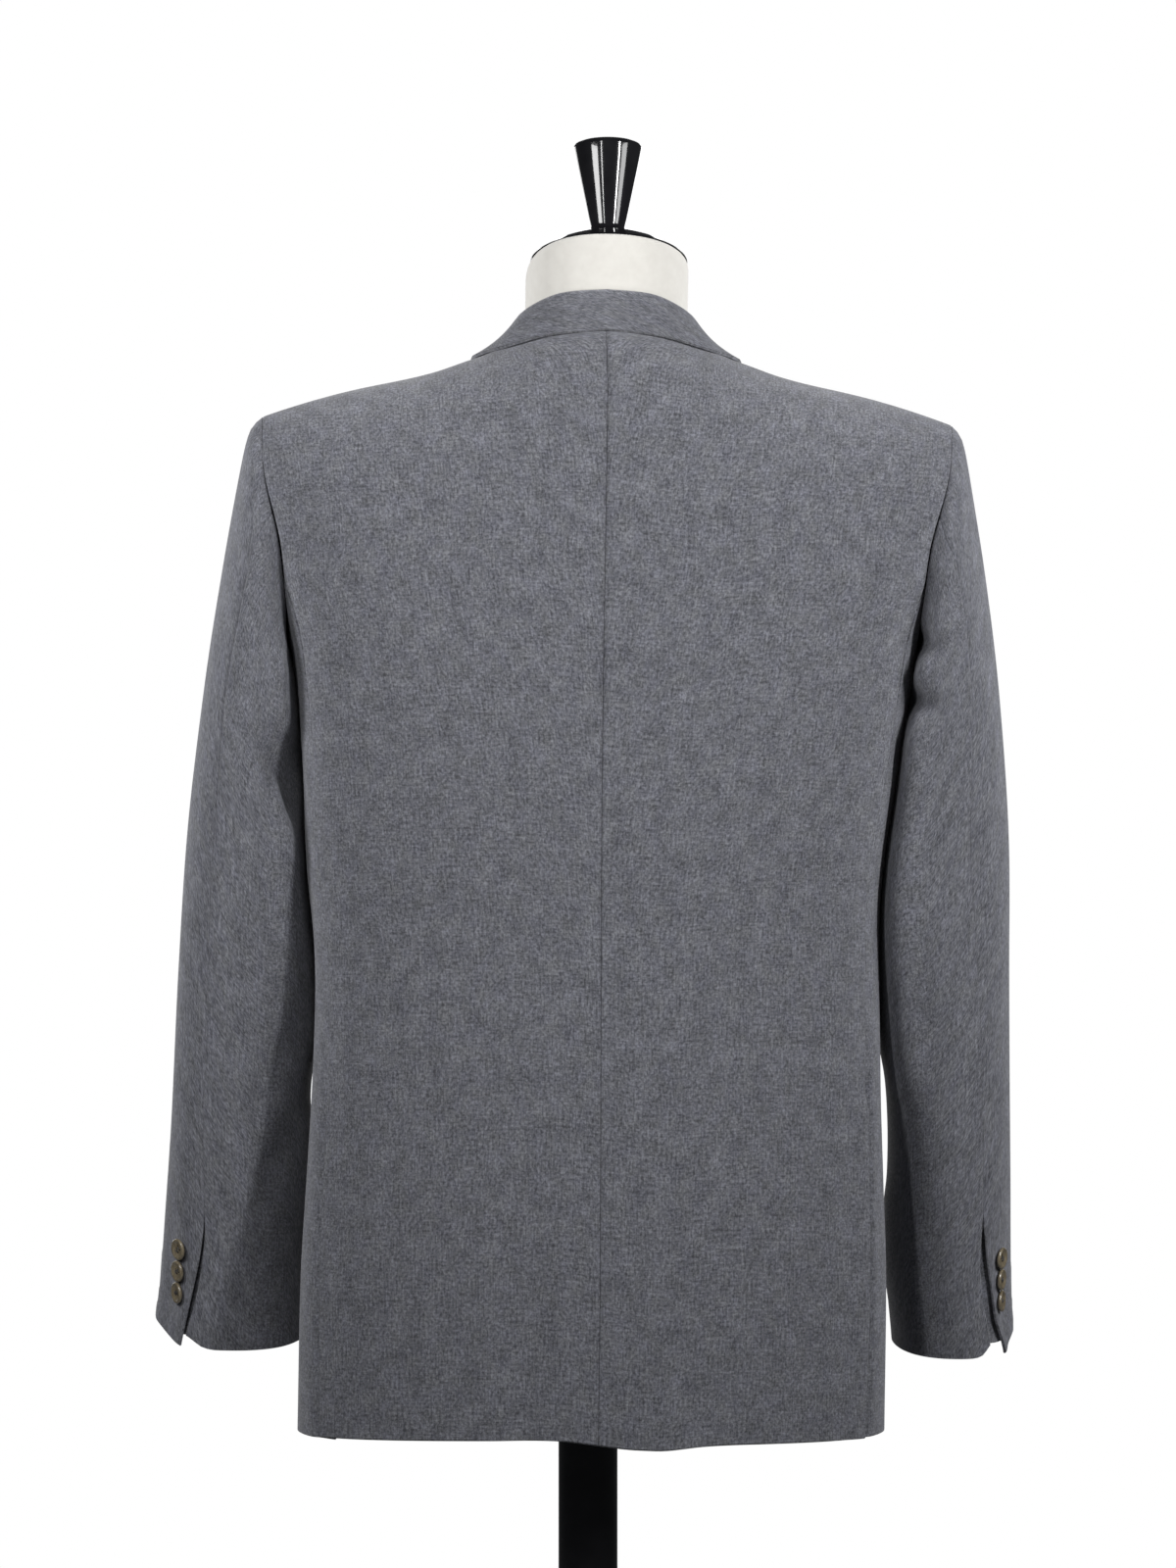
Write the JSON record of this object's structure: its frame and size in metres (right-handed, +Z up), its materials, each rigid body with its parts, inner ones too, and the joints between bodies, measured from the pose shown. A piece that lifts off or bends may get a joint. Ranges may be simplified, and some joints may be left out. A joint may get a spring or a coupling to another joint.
{
  "type": "double-breasted jacket on a limbless dress form",
  "caption": "Double-breasted wool flannel jacket with peak lapels, side vents and buttoned cuffs, standing on a limbless dress form with a pole and round base.",
  "frame": {"origin": "middle of the base plate's underside, on the floor", "axes": "+Z up; the jacket's front faces -Y; +X is the wearer's left"},
  "size_m": [0.5972, 0.36, 1.6455],
  "materials": {
    "flannel": "napped wool flannel, mid grey with lighter and darker flecks",
    "horn": "polished brown horn-like buttons",
    "cover": "natural woven cotton, stretched smooth",
    "black": "gloss black"
  },
  "bodies": {
    "root": {"back_left": "flannel", "side_left": "flannel", "front_left": "flannel", "lapel_left": "flannel", "top_sleeve_left": "flannel", "under_sleeve_left": "flannel", "back_right": "flannel", "side_right": "flannel", "front_right": "flannel", "lapel_right": "flannel", "top_sleeve_right": "flannel", "under_sleeve_right": "flannel", "collar": "flannel", "front_button_lower_left": "horn", "front_button_lower_right": "horn", "front_button_middle_left": "horn", "front_button_middle_right": "horn", "front_button_upper_left": "horn", "front_button_upper_right": "horn", "cuff_button_left_1": "horn", "cuff_button_left_2": "horn", "cuff_button_left_3": "horn", "cuff_button_right_1": "horn", "cuff_button_right_2": "horn", "cuff_button_right_3": "horn", "form_torso": "cover", "form_neck_cap": "black", "form_finial": "black", "form_pole": "black", "form_base": "black"}
  },
  "joints": []
}
